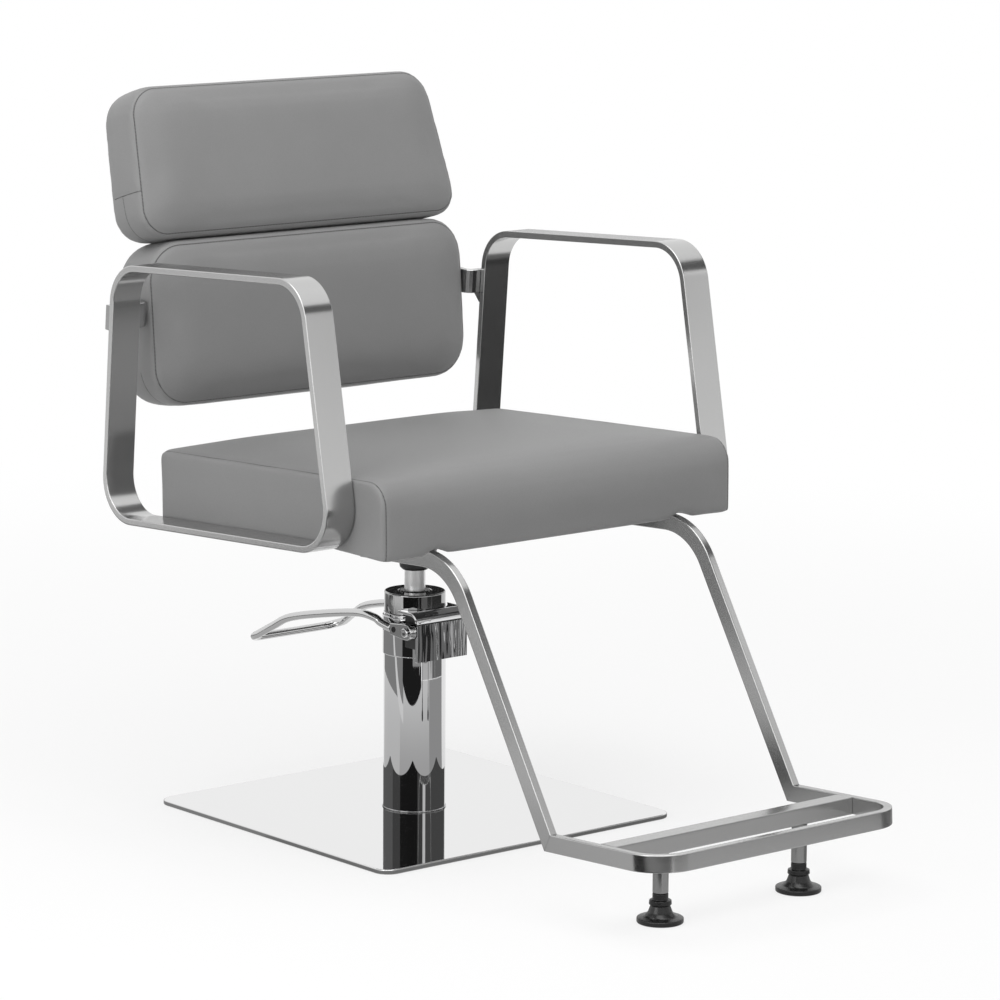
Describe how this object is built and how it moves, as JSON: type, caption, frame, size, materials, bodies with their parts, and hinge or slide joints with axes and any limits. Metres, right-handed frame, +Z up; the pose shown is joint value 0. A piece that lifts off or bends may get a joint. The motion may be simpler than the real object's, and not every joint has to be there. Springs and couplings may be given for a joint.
{
  "type": "hairdressing chair",
  "caption": "Hydraulic hairdressing chair: padded seat and split back, flat bar steel arms, square chrome base with pump column and pedal, and a front footrest on levelling feet.",
  "frame": {"origin": "on the floor, at the centre of the base plate, under the column axis", "axes": "+Z up the column; the sitter faces -Y; +X to the right of someone who faces the chair from the front"},
  "size_m": [0.616, 0.9873, 0.8765],
  "materials": {
    "chrome": "mirror chrome plate",
    "steel": "brushed along the bar",
    "dark_steel": "dark satin paint",
    "leather": "mid grey upholstery, fine grain, matt",
    "board": "board with a black matt cover",
    "rubber": "black, slightly glossy"
  },
  "bodies": {
    "base": {"base_plate": "chrome", "column_sleeve": "chrome", "pump_cylinder": "dark_steel", "pump_collar": "chrome", "pump_cap": "chrome", "rod_seal": "rubber", "pump_cover": "chrome", "pedal_bearing": "dark_steel"},
    "ram": {"piston_rod": "chrome", "piston_head": "dark_steel"},
    "pedal": {"pedal_shaft": "dark_steel", "pedal_eye_left": "chrome", "pedal_eye_right": "chrome", "pedal_nut_left": "chrome", "pedal_nut_right": "chrome", "pedal_loop": "chrome"},
    "seat": {"arm_loop_left": "steel", "arm_loop_right": "steel", "back_bracket_left": "dark_steel", "back_bracket_right": "dark_steel", "back_strap_left": "dark_steel", "back_strap_right": "dark_steel", "bracket_gusset_left": "dark_steel", "bracket_gusset_right": "dark_steel", "foot_sleeve_left": "chrome", "foot_sleeve_right": "chrome", "footrest_bar": "steel", "footrest_frame": "steel", "footrest_leg_left": "steel", "footrest_leg_right": "steel", "lower_pad": "leather", "lower_panel": "board", "seat_board": "board", "seat_cushion": "leather", "seat_hub": "dark_steel", "seat_plate": "dark_steel", "seat_rail_front": "dark_steel", "seat_rail_rear": "dark_steel", "upper_pad": "leather", "upper_panel": "board"},
    "foot_left": {"level_foot_left": "rubber"},
    "foot_right": {"level_foot_right": "rubber"}
  },
  "joints": [
    {"name": "lift", "type": "slide", "parent": "base", "child": "ram", "axis": [0, 0, 1], "range_m": [0, 0.15]},
    {"name": "swivel", "type": "hinge", "parent": "ram", "child": "seat", "pos_m": [0, 0, 0.3744], "axis": [0, 0, 1], "continuous": true},
    {"name": "pedal_press", "type": "hinge", "parent": "base", "child": "pedal", "pos_m": [0, -0.044, 0.2355], "axis": [-1, 0, 0], "range_deg": [0, 22], "stiffness_Nm_per_rad": 8, "springref_deg": -20.05},
    {"name": "foot_level_left", "type": "slide", "parent": "seat", "child": "foot_left", "axis": [0, 0, 1], "range_m": [-0.015, 0]},
    {"name": "foot_level_right", "type": "slide", "parent": "seat", "child": "foot_right", "axis": [0, 0, 1], "range_m": [-0.015, 0]}
  ]
}
